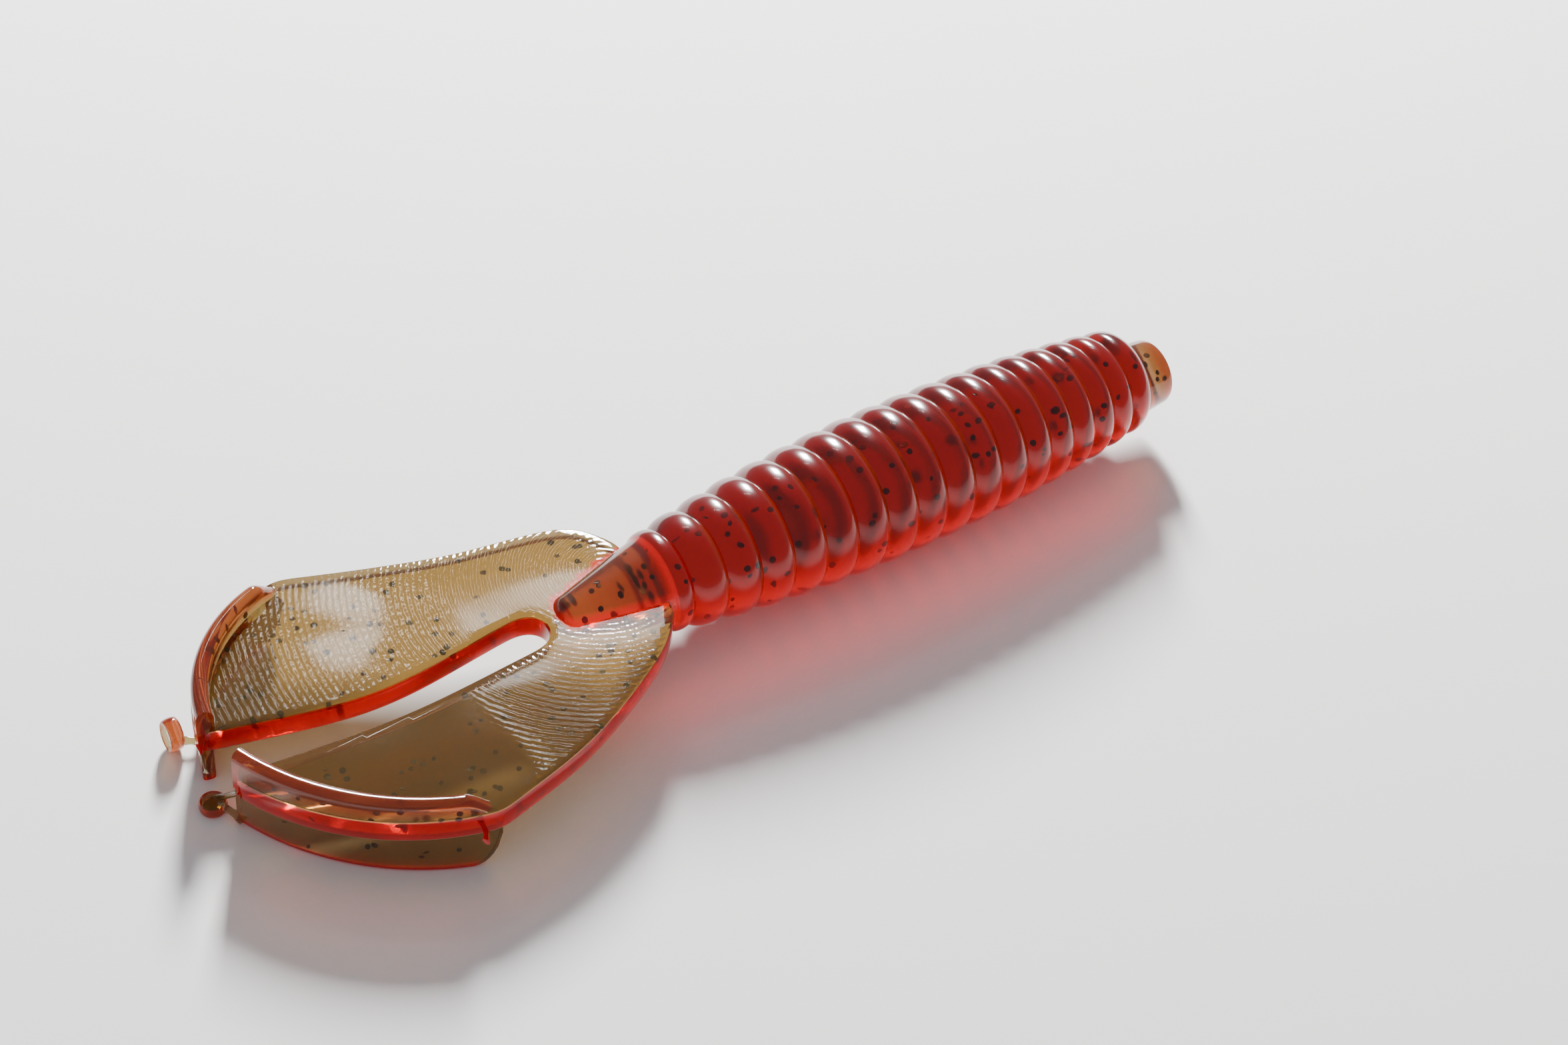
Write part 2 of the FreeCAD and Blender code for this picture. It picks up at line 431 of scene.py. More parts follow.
def shrunk(outline, by):
    found = []
    count = len(outline)
    for i, point in enumerate(outline):
        along = (outline[(i + 1) % count] - outline[i - 1]).normalized()
        found.append(point + Vector((-along.y, along.x)) * by)
    return found


def isInside(x, y, outline):
    inside = False
    ax, ay = outline[-1]
    for bx, by in outline:
        if (ay > y) != (by > y) and x < (bx - ax) * (y - ay) / (by - ay) + ax:
            inside = not inside
        ax, ay = bx, by
    return inside


# Shallow swells in the top of the soft plates
def relief(x, y):
    return -plate["ripple"] * (1 + sin(0.55 * x + 0.4 * y)) * (1 + cos(0.5 * y))


# A staggered grid of points inside an outline, clear of its edge
def gridInside(outline, step):
    nearEdge = KDTree(len(outline))
    for i, p in enumerate(outline):
        nearEdge.insert((p.x, p.y, 0), i)
    nearEdge.balance()
    lowX, lowY = min(p.x for p in outline), min(p.y for p in outline)
    highX, highY = max(p.x for p in outline), max(p.y for p in outline)
    found = []
    row = 0
    y = lowY
    while y < highY:
        x = lowX + (step / 2 if row % 2 else 0)
        while x < highX:
            if nearEdge.find((x, y, 0))[2] > step * 0.6 and isInside(x, y, outline):
                found.append(Vector((x, y)))
            x += step
        y += step * 0.87
        row += 1
    return found


# Both plates with the slit between them, one closed sheet with rounded edges
def makePlates():
    right = tailOutline(tails["right"])
    left = tailOutline(tails["left"])
    outline = evened(right + list(reversed(left))[1:], plate["outlineStep"], plate["softening"])
    area = sum(a.x * b.y - b.x * a.y for a, b in zip(outline, outline[1:] + outline[:1]))
    if area < 0:
        outline.reverse()
    half, edge = plate["thickness"] / 2, plate["edgeRound"]
    levels = [(shrunk(outline, edge), half), (shrunk(outline, edge * 0.3), half - edge * 0.3),
              (outline, half - edge), (outline, 0.0), (outline, edge - half),
              (shrunk(outline, edge * 0.3), edge * 0.3 - half), (shrunk(outline, edge), -half)]
    count = len(outline)
    vertices = [(p.x, p.y, plateMiddle(p.x) + height) for ring, height in levels for p in ring]
    faces = []
    for k in range(len(levels) - 1):
        for i in range(count):
            j = (i + 1) % count
            faces.append((k * count + i, (k + 1) * count + i, (k + 1) * count + j, k * count + j))
    for level, isTop in ((0, True), (len(levels) - 1, False)):
        ring, height = levels[level]
        seeds = list(ring) + gridInside(ring, plate["gridStep"])
        points, _, triangles, _, _, _ = delaunay_2d_cdt(seeds, [], [list(range(count))], 1, 1e-5)
        number = [level * count + i for i in range(count)]
        for p in points[count:]:
            number.append(len(vertices))
            rise = relief(p.x, p.y) if isTop else 0
            vertices.append((p.x, p.y, plateMiddle(p.x) + height + rise))
        for triangle in triangles:
            faces.append(tuple(number[i] for i in (triangle if isTop else reversed(triangle))))
    mesh = meshOf("plates", vertices, faces)
    faceOutward(mesh)
    return mesh


# The part of the crescent rim above the plate, rising from the outer end
def makeLip(tail):
    arc = rimArc(tail)
    length = abs(arc[3]) * arc[1]
    wide, inset = rim["thickness"], rim["lipInset"]
    rows = []
    for k in range(rim["stations"] + 1):
        share = k / rim["stations"] * 0.997 + 0.0015
        x = rimPoint(arc, share).x
        bottom = plateMiddle(x) - rim["lipSunk"]
        plateTop = plateMiddle(x) + plate["thickness"] / 2
        t = min(1.0, share * length / rim["lipRun"])
        rise = t * t * (3 - 2 * t)
        top = plateTop - 0.2 + (rim["top"] - plateTop + 0.2) * max(rise, rim["lipLeast"])
        shoulder = top - min(wide / 2, (top - bottom) * 0.7)
        section = [(inset, bottom), (inset, shoulder)]
        for i in range(1, 12):
            angle = pi * i / 12
            section.append((inset + (wide - inset) / 2 * (1 - cos(angle)),
                            shoulder + (top - shoulder) * sin(angle)))
        section += [(wide, shoulder), (wide, bottom)]
        rows.append([(*rimPoint(arc, share, inward), z) for inward, z in section])
    return loft("lip", rows)


# The part of the rim below the plate, down to the ground
def makeSkirt(tail):
    arc = rimArc(tail)
    length = abs(arc[3]) * arc[1]
    inset = rim["skirtInset"]
    wide = inset + rim["skirtThickness"]
    rows = []
    for k in range(rim["stations"] + 1):
        share = 0.003 + 0.994 * k / rim["stations"]
        x = rimPoint(arc, share).x
        top = plateMiddle(x) + 0.2
        plateBottom = plateMiddle(x) - plate["thickness"] / 2
        t = min(1.0, share * length / rim["skirtRun"])
        drop = sqrt(max(0.0, 1 - (1 - t) ** 2))
        bottom = plateBottom + 0.1 - (plateBottom + 0.1) * max(drop, rim["skirtLeast"])
        rounding = min(rim["footRound"], (top - bottom) / 3)
        foot = bottom + rounding + (top - bottom - rounding) * 0.12
        section = [(wide, top), (inset, top), (inset, foot), (inset, bottom + rounding)]
        quarter = [pi / 2 * i / 6 for i in range(1, 6)]
        section += [(inset + rounding * (1 - cos(angle)), bottom + rounding * (1 - sin(angle)))
                    for angle in quarter]
        section += [(inset + rounding, bottom), (wide - rounding, bottom)]
        section += [(wide - rounding * (1 - sin(angle)), bottom + rounding * (1 - cos(angle)))
                    for angle in quarter]
        section += [(wide, bottom + rounding), (wide, foot)]
        rows.append([(*rimPoint(arc, share, inward), z) for inward, z in section])
    return loft("skirt", rows)


vents = {
    "left": {"node": "left_vent_stub", "stands": True, "depth": 1.25, "dish": 0.3, "rimWidth": 0.42},
    "right": {"node": "right_vent_stub", "stands": False, "depth": 0.95, "dish": 0.3, "rimWidth": 0.4},
}
neck = {"width": 1.15, "thickness": 0.36, "height": 0.5, "climb": 0.3, "sag": 0.22, "twist": 1.9,
        "bite": 0.5, "ventBite": 0.55, "waist": 0.45, "stations": 16}

for vent in vents.values():
    low, high = boxOf(vent["node"])
    vent["centre"] = (low + high) / 2 - Vector((forkX, middleY, 0))
    size = high - low
    vent["halves"] = (size.x / 2 - 0.03, (size.z if vent["stands"] else size.y) / 2 - 0.02)


# How far out on a vent's disc a point is, 1 at its rim, or nothing where it is off the disc
def ventShare(point, vent):
    away = point - vent["centre"]
    side, a, b = away if vent["stands"] else (away.z, away.x, away.y)
    wide, high = vent["halves"]
    share = sqrt((a / wide) ** 2 + (b / high) ** 2)
    return share if abs(side) < vent["depth"] / 2 + 0.05 and share < 1.05 else None


# A dished button, standing on its edge or lying flat
def makeVent(vent):
    wide, high = vent["halves"]
    depth, dish, band = vent["depth"] / 2, vent["dish"], vent["rimWidth"]
    hollow = [(0.02, dish - depth), (0.5, dish - depth),
              (0.72, dish * 0.8 - depth), (0.84, dish * 0.2 - depth)]
    profile = list(hollow)
    for k in range(9):
        angle = pi * k / 8
        profile.append((1 - band * 0.3 + band * 0.3 * sin(angle), -depth * cos(angle)))
    profile += [(share, -side) for share, side in reversed(hollow)]
    rows = []
    for share, side in profile:
        row = []
        for i in range(40):
            angle = tau * i / 40
            a = wide * share * cos(angle)
            b = high * share * sin(angle)
            row.append(vent["centre"] + (Vector((side, a, b)) if vent["stands"] else Vector((a, b, side))))
        rows.append(row)
    return loft("vent", rows)


# A thin twisted strip of plastic
def ribbon(name, start, end, width, thickness, twist, sag=0.0):
    along = (end - start).normalized()
    across = along.cross(Vector((0, 0, 1))).normalized()
    upward = across.cross(along)
    rows = []
    for k in range(neck["stations"] + 1):
        t = k / neck["stations"]
        middle = start.lerp(end, t) + Vector((0, 0, sag * sin(pi * t)))
        angle = twist * (t - 0.1) + 0.3 * sin(tau * t)
        wide = across * cos(angle) + upward * sin(angle)
        thin = along.cross(wide)
        half = width / 2 * (1 - neck["waist"] * sin(pi * t))
        rows.append([middle + wide * half * cos(tau * i / 16) + thin * thickness / 2 * sin(tau * i / 16)
                     for i in range(16)])
    return loft(name, rows)


# The strip between a vent stub and the nearest point of the rim
def makeNeck(tail, vent):
    arc = rimArc(tail)
    centre = vent["centre"]
    nearest = min((rimPoint(arc, k / 200, rim["skirtInset"]) for k in range(1, 199)),
                  key=lambda point: (point - centre.xy).length)
    along = (centre.xy - nearest).normalized()
    start = (nearest - along * neck["bite"]).to_3d() + Vector((0, 0, neck["height"]))
    end = (centre.xy - along * neck["ventBite"]).to_3d() + Vector((0, 0, neck["height"] + neck["climb"]))
    return ribbon("neck", start, end, neck["width"], neck["thickness"], neck["twist"], neck["sag"])


# Slivers of mould flash on each tail: start, end, width, thickness and twist
flash = {
    "right": [((-31.0, -0.3, 4.0), (-32.0, 2.9, 0.6), 0.9, 0.22, 2.6),
              ((-16.3, -14.6, 4.6), (-17.2, -16.1, 5.1), 0.8, 0.3, 0.8),
              ((-20.5, -13.6, 4.4), (-20.0, -14.7, 3.4), 0.45, 0.22, 1.2)],
    "left": [((-31.6, 5.9, 4.4), (-31.9, 4.5, 2.2), 0.8, 0.24, 2.2)],
}


def makeFlash(side):
    return [ribbon("flash", Vector(start), Vector(end), width, thickness, twist)
            for start, end, width, thickness, twist in flash[side]]


def united(name, meshes, material):
    pieces = [newPiece("%s_%d" % (name, i), mesh, material) for i, mesh in enumerate(meshes)]
    whole = pieces[0]
    for other in pieces[1:]:
        cut = whole.modifiers.new("join", "BOOLEAN")
        cut.operation = "UNION"
        cut.object = other
        cut.solver = "MANIFOLD"
    bpy.context.view_layer.update()
    result = bpy.data.meshes.new_from_object(whole.evaluated_get(bpy.context.evaluated_depsgraph_get()))
    for piece in pieces:
        bpy.data.objects.remove(piece)
    return result


# What lies between two places along the worm
def sliced(mesh, low, high):
    bm = bmesh.new()
    bm.from_mesh(mesh)
    for x, keepFront in ((high, False), (low, True)):
        if isfinite(x):
            geometry = list(bm.verts) + list(bm.edges) + list(bm.faces)
            bmesh.ops.bisect_plane(bm, geom=geometry, dist=1e-5, plane_co=(x, 0, 0), plane_no=(1, 0, 0),
                                   clear_inner=keepFront, clear_outer=not keepFront)
    return bm


# Keeps only the connected faces nearest to a point
def keepIsland(bm, seed):
    start = min(bm.verts, key=lambda v: (v.co - seed).length_squared)
    found = {start}
    queue = [start]
    while queue:
        vertex = queue.pop()
        for edge in vertex.link_edges:
            other = edge.other_vert(vertex)
            if other not in found:
                found.add(other)
                queue.append(other)
    bmesh.ops.delete(bm, geom=[v for v in bm.verts if v not in found], context="VERTS")


flake = {
    "across": 0.66,
    "thickness": 0.07,
    "sizes": (0.7, 1.12),
    "squash": 0.9,
    "tilt": 0.3,
    "inBody": 330,
    "inTails": 130,
    "inRim": 14,
    "shallowest": 0.14,
    "meanDepth": 0.8,
    "creaseClear": 0.45,
    "edgeClear": 0.5,
    "skirtHeights": (0.7, 3.0),
    "lipHeights": (6.0, 7.3),
}


# Thin hexagons, each lying roughly along the surface above it
def flakeMesh(name, places, rng):
    vertices, faces = [], []
    for place, facing in places:
        sway = Vector([rng.gauss(0, flake["tilt"]) for _ in range(3)])
        spin = Matrix.Rotation(rng.uniform(0, tau), 3, "Z")
        turn = (facing + sway).to_track_quat("Z", "Y").to_matrix() @ spin
        radius = flake["across"] / 2 * rng.uniform(*flake["sizes"])
        first = len(vertices)
        for side in (-1, 1):
            for k in range(6):
                angle = tau * k / 6
                across, along = radius * cos(angle), radius * flake["squash"] * sin(angle)
                corner = Vector((across, along, side * flake["thickness"] / 2))
                vertices.append(place + turn @ corner)
        faces.append(tuple(first + k for k in reversed(range(6))))
        faces.append(tuple(first + 6 + k for k in range(6)))
        for k in range(6):
            j = (k + 1) % 6
            faces.append((first + k, first + j, first + 6 + j, first + 6 + k))
    return meshOf(name, vertices, faces)


def flakeDepth(rng):
    return flake["shallowest"] + rng.expovariate(1 / flake["meanDepth"])


def flakesInBody(rng):
    rows = bodyProfile()
    found = []
    while len(found) < flake["inBody"]:
        x = rng.uniform(1.0, rows[-1][0] - 0.6)
        radius, drop = next((r, d) for rowX, r, d in rows if rowX >= x)
        if any(abs(x - crease) < flake["creaseClear"] for crease in creases):
            continue
        depth = flakeDepth(rng)
        if depth < radius * 0.9 and rng.random() < radius / 7:  # fewer where the body is slim
            angle = rng.uniform(0, tau)
            facing = Vector((0, cos(angle), sin(angle)))
            found.append((Vector((x, 0, axisZ - drop)) + facing * (radius - depth), facing))
    return found


def flakesInTails(rng):
    outlines = [tailOutline(tail) for tail in tails.values()]
    found = []
    while len(found) < flake["inTails"]:
        x, y = rng.uniform(-31.0, plate["start"] - 1.0), rng.uniform(-15, 17)
        if x > -1.5 and abs(y) < 4.5:  # under the cone
            continue
        spot = Vector((x, y))
        if any(isInside(x, y, outline) and min((p - spot).length for p in outline) > flake["edgeClear"]
               for outline in outlines):
            depth = min(flakeDepth(rng), plate["thickness"] - 0.2)
            found.append((Vector((x, y, plateMiddle(x) + plate["thickness"] / 2 - depth)), Vector((0, 0, 1))))
    return found


def flakesInRim(tail, rng):
    arc = rimArc(tail)
    found = []
    for k in range(flake["inRim"]):
        share = rng.uniform(0.12, 0.97)
        place = rimPoint(arc, share, rng.uniform(0.65, 1.0))
        height = rng.uniform(*flake["skirtHeights"] if k % 2 else flake["lipHeights"])
        facing = (place - arc[0]).normalized()
        found.append((place.to_3d() + Vector((0, 0, height)), facing.to_3d()))
    return found


# Where the finish and the painted light change, for the marks that each point of the skin carries
marking = {
    "plateReach": 0.8,
    "plateMerge": 0.5,
    "wallShare": 0.9,
    "rimX": -13,
    "lipClear": 0.1,
    "lipEdgeLight": 0.5,
    "skirtFoot": 0.37,
    "stubX": 0.15,
    "stubThin": 0.5,
    "arcsEnd": -11,
    "arcsFade": 5,
    "leftArcs": 0.6,
    "leftArcsY": 2,
    "windowStart": 0.3,
    "windowEnd": 0.7,
    "footBehind": 0.6,
    "footWide": 1,
    "footOut": 0.45,
    "footHigh": 0.75,
    "footFade": 0.45,
    "footDeep": -0.05,
    "collarLine": 0.3,
    "ventsX": -24,
    "ventEdgeLight": (0.75, 0.2, 0.7),
}


# Painted red line where the cone stands on the plates, and another round the collar, standing in for light
# refracted through the thick joins
def footGlowMark(x, y, away, above):
    onCone = coneNose - marking["footBehind"] < x < collarX - marking["collarLine"]
    if abs(x - collarX) < marking["collarLine"]:
        return 1.0
    if onCone and away < marking["footOut"] and abs(y) < coneBase + marking["footWide"]:
        if above > marking["footDeep"]:
            return clamped((marking["footHigh"] - above) / marking["footFade"])
    return 0.0


# How far forward in its ring a point is, for the painted brown band that stands in for light seen through the
# head side of each ring: the clear window of the cone, painted the same way for light refracted through it,
# counts as 1
def paintedBandMark(x, thin, ringEdges):
    edge = bisect(ringEdges, x)
    if 0 < edge < len(ringEdges):
        return (x - ringEdges[edge - 1]) / (ringEdges[edge] - ringEdges[edge - 1])
    inWindow = body["coneFlankX"] * marking["windowStart"] < x < collarX - marking["windowEnd"]
    return 1.0 if inWindow and thin < 0.5 else 0.0


# Painted edge light: the plate's vertical edge, the lip and the foot of the skirt are painted redder than the
# flat of the plate, standing in for light carried lengthwise through the plastic
def edgeLightMark(x, z, thin, onPlate):
    high = z - plateMiddle(x)
    half = plate["thickness"] / 2
    if thin > 0.5 and x < marking["rimX"]:
        if high > half + marking["lipClear"]:
            return marking["lipEdgeLight"]
        if z < marking["skirtFoot"]:
            return 1.0
    return 1.0 if onPlate and abs(high) < half - marking["wallShare"] * plate["edgeRound"] else 0.0


# Fine cutter marks on the top of the plates, fading out towards the tips
def arcsMark(x, y, onTop):
    if not onTop:
        return 0.0
    left = marking["leftArcs"] if y > marking["leftArcsY"] else 0.0
    return max(clamped((x - marking["arcsEnd"]) / marking["arcsFade"]), left)


def markPlastic(mesh):
    rows = bodyProfile()
    places = [row[0] for row in rows]
    ringEdges = sorted(creases)
    found = {name: [] for name in ("thin", "wall", "band", "arcs", "foot")}
    for vertex in mesh.vertices:
        x, y, z = vertex.co
        k = min(max(bisect(places, x), 1), len(rows) - 1)
        radius = (rows[k - 1][1] + rows[k][1]) / 2 if x > coneNose else 0.0
        away = sqrt(y * y + (z - axisZ) ** 2) - radius
        above = z - plateMiddle(x) - plate["thickness"] / 2
        thin = clamped(away / marking["plateMerge"]) if x < plate["start"] + marking["plateReach"] else 0.0
        onPlate = thin > 0.5 and abs(z - plateMiddle(x)) < plate["thickness"] / 2 + 0.02
        wall = edgeLightMark(x, z, thin, onPlate)
        if x > creases[0] + marking["stubX"]:  # the nose stub is a clear thin section too
            thin = marking["stubThin"]
        arcs = arcsMark(x, y, onPlate and vertex.normal.z > 0.9)
        band = paintedBandMark(x, thin, ringEdges)
        foot = footGlowMark(x, y, away, above)
        for vent in vents.values():
            share = ventShare(vertex.co, vent) if x < marking["ventsX"] else None
            # the vent rims are painted red, standing in for light carried through the edge of each clear disc
            if share is not None:  # clear in the middle, red at the edge
                start, fade, most = marking["ventEdgeLight"]
                thin, wall, arcs = 1.0, clamped((share - start) / fade, high=most), 0.0
        for name, value in (("thin", thin), ("wall", wall), ("band", band), ("arcs", arcs), ("foot", foot)):
            found[name].append(value)
    for name, values in found.items():
        mesh.attributes.new(name, "FLOAT", "POINT").data.foreach_set("value", values)


def skinPiece(name, bm, material):
    mesh = bpy.data.meshes.new(name)
    bm.to_mesh(mesh)
    bm.free()
    markPlastic(mesh)
    mesh.transform(toFrame)
    piece = newPiece(name, mesh, material)
    for polygon in mesh.polygons:
        polygon.use_smooth = True
    mesh.set_sharp_from_angle(angle=radians(38))
    return piece


# One soft plastic everywhere: tan where it is thin, deep red where light has a long way through it, with
# painted light at the ring bands, the underside, the edges and round the cone
plastic = {
    "pathScale": 20.0,
    "pathStops": [(0.0, (1.0, 1.0, 1.0, 1)), (0.12, (0.30, 0.185, 0.04, 1)), (0.24, (0.36, 0.05, 0.008, 1)),
                  (0.45, (0.13, 0.001, 0.0005, 1)), (1.0, (0.04, 0.0, 0.0, 1))],
    "bodyTint": (0.17, 0.0006, 0.0002, 1),
    # painted brown band of light seen through the head side of each ring and through the cone window
    "paintedBandTint": (0.17, 0.045, 0.009, 1),
    "paintedBandEdges": (0.70, 0.95),
    "paintedBandStrength": 0.85,
    # painted glow: brighter red on the downward-facing side of the body
    "undersideGlowTint": (0.5, 0.001, 0.0005, 1),
    "undersideGlowEdges": (0.55, -0.15),
    "tailTint": (0.18, 0.11, 0.022, 1),
    # painted red edge light on the edges of the plates, the lips, the skirt feet and the vent rims
    "edgeLightTint": (0.4, 0.0, 0.0, 1),
    # painted red line of light refracted through the joins at the foot of the cone and round the collar
    "footGlowTint": (0.5, 0.003, 0.001, 1),
    "dark": (0, 0, 0, 1),
    # painted glow: emission colour and strength that stand in for light carried through the plastic
    "glowTint": (0.8, 0.0, 0.0, 1),
    "glow": 0.17,
    "edgeLightGlow": 0.5,
    "footGlow": 0.9,
    "cloudScale": 160.0,
    "cloudiness": 0.25,
    "grainScale": 900.0,
    "grain": 0.4,
    "cutterCentre": (6.0, 3.0, 0),
    "cutterScale": 560.0,
    "cutterDepth": 3.0,
    "bumpStrength": 0.12,
    "bumpDistance": 0.0001,
    "roughness": 0.2,
    "thinGloss": 0.12,
    "ior": 1.35,
    "clearness": 0.86,
    "coat": 0.45,
    "coatRoughness": 0.05,
    "coatIor": 1.36,
}


def plastisol():
    finish = Finish("amber red plastisol")
    geometry = finish.add("ShaderNodeNewGeometry")
    path = finish.add("ShaderNodeLightPath", output="Ray Length") / mm
    inside = finish.ramp(path / plastic["pathScale"], plastic["pathStops"])
    marks = {name: finish.add("ShaderNodeAttribute", {"attribute_name": name}, output="Fac")
             for name in ("thin", "wall", "band", "arcs", "foot")}
    up = finish.add("ShaderNodeSeparateXYZ", {}, {0: finish.of(geometry, "Normal")}, output=2)
    place = finish.add("ShaderNodeTexCoord", output="Object")
    cloud = finish.noise(place, plastic["cloudScale"], 3.0)

    # colour of the body with its painted band and painted underside glow, then of the plates with their
    # painted red edge light, then the painted red line round the cone
    # painted band: the head side of each ring and the cone window get a brown tint that stands in for light
    # seen through the plastic
    band = finish.step(marks["band"], *plastic["paintedBandEdges"]) * plastic["paintedBandStrength"]
    flesh = finish.mixColour(band, plastic["bodyTint"], plastic["paintedBandTint"])
    # painted glow: the downward-facing side of the body is painted brighter red, standing in for light coming
    # through the plastic underneath
    undersideGlow = finish.step(up + cloud * plastic["cloudiness"], *plastic["undersideGlowEdges"])
    flesh = finish.mixColour(undersideGlow, flesh, plastic["undersideGlowTint"])
    # painted edge light: the edges of the plates, the lips and the skirt feet are tinted red for light
    # carried through the plastic
    flat = finish.mixColour(marks["wall"], plastic["tailTint"], plastic["edgeLightTint"])
    painted = finish.mixColour(marks["thin"], flesh, flat)
    # painted red line at the foot of the cone and round the collar, standing in for light refracted through
    # the joins
    painted = finish.mixColour(marks["foot"], painted, plastic["footGlowTint"])
    colour = finish.mixColour(finish.of(geometry, "Backfacing"), painted, inside)

    # painted glow: emission stands in for light carried through the plastic at the underside, the edges and
    # the foot of the cone
    glow = undersideGlow * (1 - marks["thin"]) + marks["wall"] * marks["thin"] * plastic["edgeLightGlow"]
    glow = glow + marks["foot"] * plastic["footGlow"]

    fromCutter = finish.add("ShaderNodeVectorMath", {"operation": "SUBTRACT"},
                            {0: place, 1: framePoint(*plastic["cutterCentre"])})
    arcs = finish.add("ShaderNodeTexWave",
                      {"wave_type": "RINGS", "rings_direction": "Z", "wave_profile": "SIN"},
                      {"Vector": fromCutter, "Scale": plastic["cutterScale"], "Distortion": 2.0,
                       "Detail": 2.0, "Detail Scale": 3.0}, output=1)
    grain = finish.noise(place, plastic["grainScale"], 3.0) * plastic["grain"]
    height = grain + arcs * marks["arcs"] * plastic["cutterDepth"]
    bump = finish.add("ShaderNodeBump", {}, {"Strength": plastic["bumpStrength"],
                                             "Distance": plastic["bumpDistance"], "Height": height})
    finish.feed(finish.shader, {
        "Base Color": colour,
        "Roughness": plastic["roughness"] - marks["thin"] * plastic["thinGloss"],
        "IOR": plastic["ior"],
        "Transmission Weight": plastic["clearness"],
        "Coat Weight": plastic["coat"],
        "Coat Roughness": plastic["coatRoughness"],
        "Coat IOR": plastic["coatIor"],
        "Normal": bump,
        "Emission Color": finish.mixColour(glow, plastic["dark"], plastic["glowTint"]),
        "Emission Strength": plastic["glow"],
    })
    return finish.material


glitter = {
    "scale": 400.0,
    "stops": [(0.3, (0.006, 0.004, 0.004, 1)), (0.7, (0.03, 0.02, 0.018, 1))],
    "roughness": 0.4,
}


def blackFlake():
    finish = Finish("flake")
    place = finish.add("ShaderNodeTexCoord", output="Object")
    shade = finish.ramp(finish.noise(place, glitter["scale"]), glitter["stops"])
    finish.feed(finish.shader, {"Base Color": shade, "Roughness": glitter["roughness"]})
    return finish.material


print("finishes")
flakeFinish = blackFlake()
plasticFinish = plastisol()

print("body, plates, rims and vents")
solids = [makeBody(), makePlates()]
for name, tail in tails.items():
    solids += [makeLip(tail), makeSkirt(tail), makeVent(vents[name]), makeNeck(tail, vents[name])]
    solids += makeFlash(name)
wormMesh = united("worm", solids, plasticFinish)
print("one skin of", len(wormMesh.vertices), "points")

rng = random.Random(7)
flakes = flakesInBody(rng) + flakesInTails(rng)
for tail in tails.values():
    flakes += flakesInRim(tail, rng)
print(len(flakes), "flakes")

bodyNames = ["head"] + ["segment_%d" % k for k in range(2, 8)] + ["tail_base"]
seams = [creases[ring] for ring in seamRings]
tailSeams = {"root": -3.9, "curl": -7.9, "curlEnd": -14.5,
             "seedSide": 6.0, "seedHeight": 6.5, "seedBehind": 1.6}


def addSkin(name, bm, covered):
    skin = skinPiece(name, bm, plasticFinish)
    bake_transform(skin)
    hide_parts(*covered)


def addFlakes(name, chosen):
    mesh = flakeMesh(name, chosen, rng)
    mesh.transform(toFrame)
    specks = newPiece(name, mesh, flakeFinish)
    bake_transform(specks)


def between(chosen, low, high):
    return [(place, facing) for place, facing in chosen if low <= place.x < high]


last = len(hingeRings) - 1
for k, (front, back) in enumerate(zip(bodyNames, bodyNames[1:])):
    low = seams[k] if k < last else tailSeams["root"]
    high = seams[k - 1] if k > 0 else inf
    rings = range(1, 5) if k == 0 else range(2 * k + 3, 2 * k + 5)
    covered = ["crease_web_%02d" % hingeRings[k]] + ["ring_%02d" % ring for ring in rings]
    if k == 0:
        covered.append("nose_stub")
    if k == last:
        covered += ["ring_17", "collar", "tail_cone", "left_tail_root", "right_tail_root"]
    addSkin("skin_" + front, sliced(wormMesh, low, high), covered)
    addFlakes("flakes_" + front, between(flakes, low, high))
print("body split at", len(seams), "creases")

for name, tail in tails.items():
    root, curl, curlEnd = tailSeams["root"], tailSeams["curl"], tailSeams["curlEnd"]
    seedY = tail["side"] * tailSeams["seedSide"]
    inner = sliced(wormMesh, curl, root)
    keepIsland(inner, Vector((root - tailSeams["seedBehind"], seedY, tailSeams["seedHeight"])))
    addSkin(name + "_tail_flap_skin", inner,
            [name + "_flap_web", name + "_tail_inner_blade"])
    outer = sliced(wormMesh, -inf, curl)
    keepIsland(outer, Vector((curl - tailSeams["seedBehind"], seedY, tailSeams["seedHeight"])))
    addSkin(name + "_tail_tip_skin", outer,
            [name + ending for ending in ("_curl_web", "_tail_outer_blade", "_rim_skirt", "_rim_lip",
                                          "_vent_stub", "_vent_neck")])
    isLeft = tail["side"] > 0
    ours = [f for f in flakes if (f[0].y > plate["slitMiddle"] + 0.3) == isLeft]
    addFlakes(name + "_tail_flap_flakes", between(ours, curl, root))
    addFlakes(name + "_tail_tip_flakes", between(ours, -inf, curl))
print("tails split at their two bends")

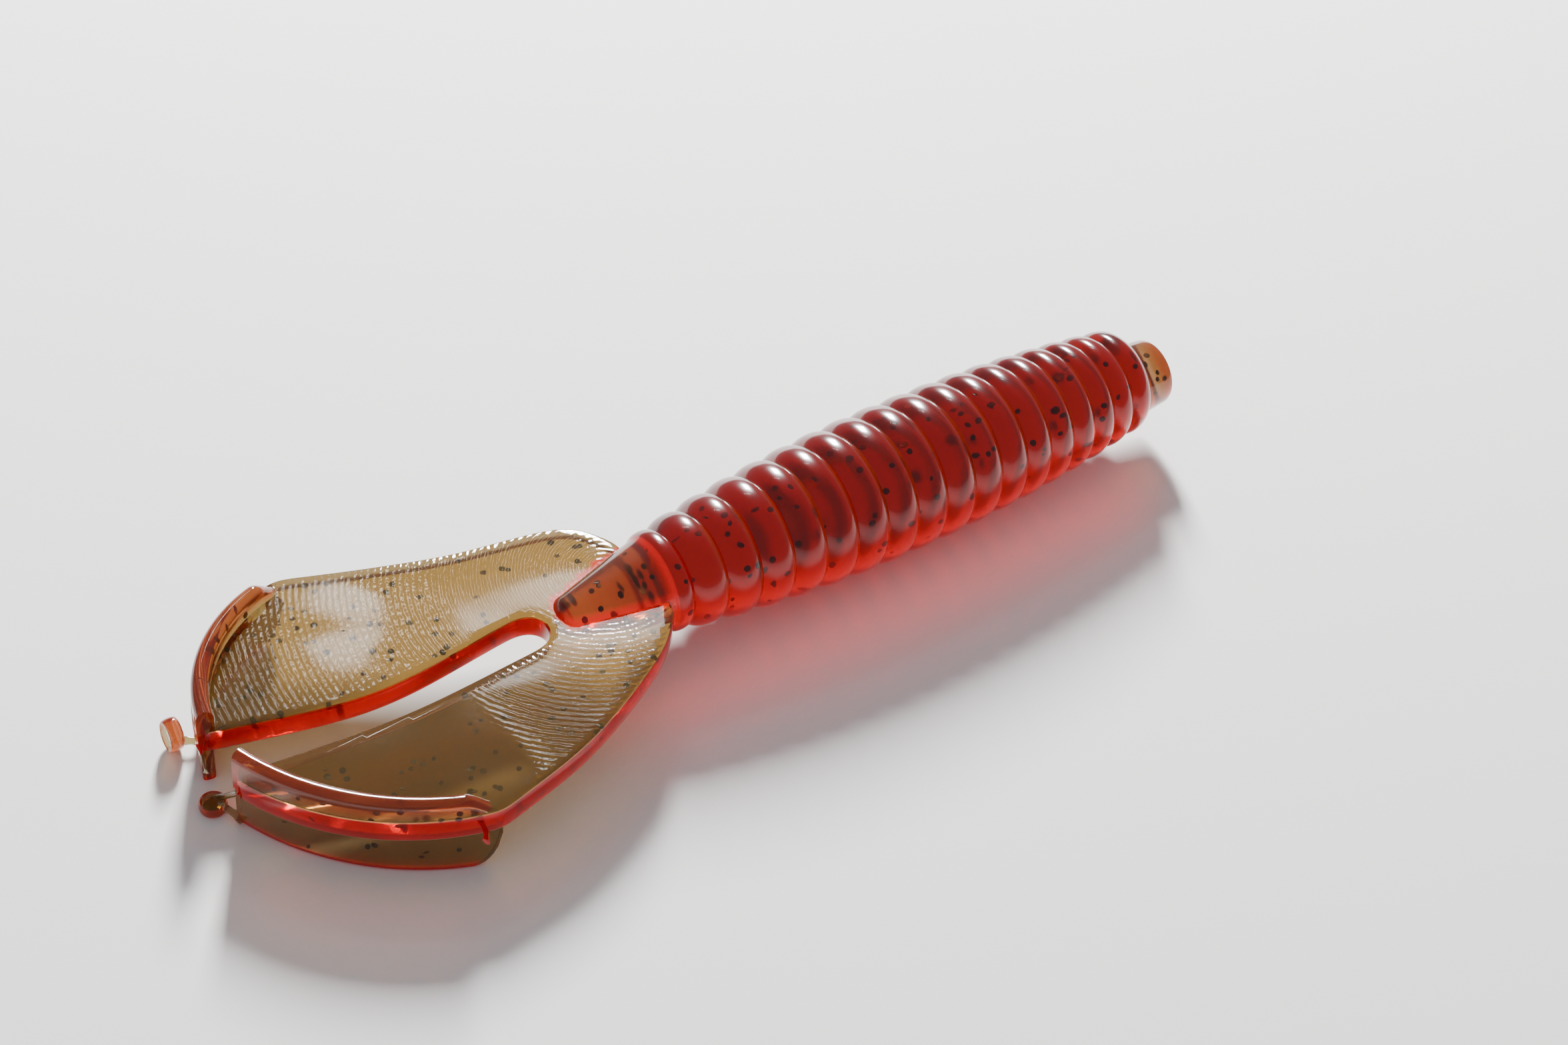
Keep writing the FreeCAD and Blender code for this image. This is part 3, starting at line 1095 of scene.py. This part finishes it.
studio = {
    "floorHalf": 1.5,
    "floorColour": (0.78, 0.77, 0.75, 1),
    "floorRoughness": 0.8,
    "skyColour": (0.9, 0.93, 1.0, 1),
    "skyStrength": 0.45,
    "aimX": 18,
    # direction, distance and size in metres, power in watts, shape
    "lights": {
        "key": ((0.44, 0.74, 0.50), 0.55, (0.08, 0.15), 15, "RECTANGLE"),
        "window": ((0.253, 0.583, 0.772), 0.545, (0.06, 0.018), 0.10, "RECTANGLE"),
        "lamp": ((0.152, 0.634, 0.758), 0.549, (0.02, 0.02), 0.03, "ELLIPSE"),
    },
}


def makeFloor():
    bm = bmesh.new()
    bmesh.ops.create_grid(bm, x_segments=1, y_segments=1, size=studio["floorHalf"])
    mesh = bpy.data.meshes.new("floor")
    bm.to_mesh(mesh)
    bm.free()
    finish = Finish("pale floor")
    finish.feed(finish.shader, {"Base Color": studio["floorColour"], "Roughness": studio["floorRoughness"]})
    floor = newPiece("floor", mesh, finish.material)


def areaLight(name, toward, distance, size, power, shape):
    light = bpy.data.lights.new(name, "AREA")
    light.shape = shape
    light.size = size[0]
    light.size_y = size[1]
    light.energy = power
    lamp = bpy.data.objects.new(name, light)
    bpy.context.scene.collection.objects.link(lamp)
    direction = Vector(toward).normalized()
    lamp.location = Vector(framePoint(studio["aimX"])) + direction * distance
    lamp.rotation_euler = direction.to_track_quat("Z", "Y").to_euler()


def makeSky():
    world = bpy.data.worlds.new("studio")
    bpy.context.scene.world = world
    world.use_nodes = True
    background = world.node_tree.nodes["Background"]
    background.inputs["Color"].default_value = studio["skyColour"]
    background.inputs["Strength"].default_value = studio["skyStrength"]


view = {
    "place": (-92.16, -140.56, 181.46),
    "look": (0.45979, 0.558, -0.69082),
    "up": (0.35667, 0.59638, 0.71911),
    "lens": 64.02,
    "sensor": 36.0,
    "clipStart": 0.01,
}


def makeCamera():
    camera = bpy.data.cameras.new("camera")
    camera.lens = view["lens"]
    camera.sensor_width = view["sensor"]
    camera.clip_start = view["clipStart"]
    viewer = bpy.data.objects.new("camera", camera)
    bpy.context.scene.collection.objects.link(viewer)
    look = Vector(view["look"])
    right = look.cross(Vector(view["up"])).normalized()
    turn = Matrix((right, right.cross(look), -look)).transposed()
    viewer.matrix_world = Matrix.Translation(framePoint(*view["place"])) @ turn.to_4x4()
    bpy.context.scene.camera = viewer


makeFloor()
for name, settings in studio["lights"].items():
    areaLight(name, *settings)
makeSky()
makeCamera()
print("floor, lights and camera")
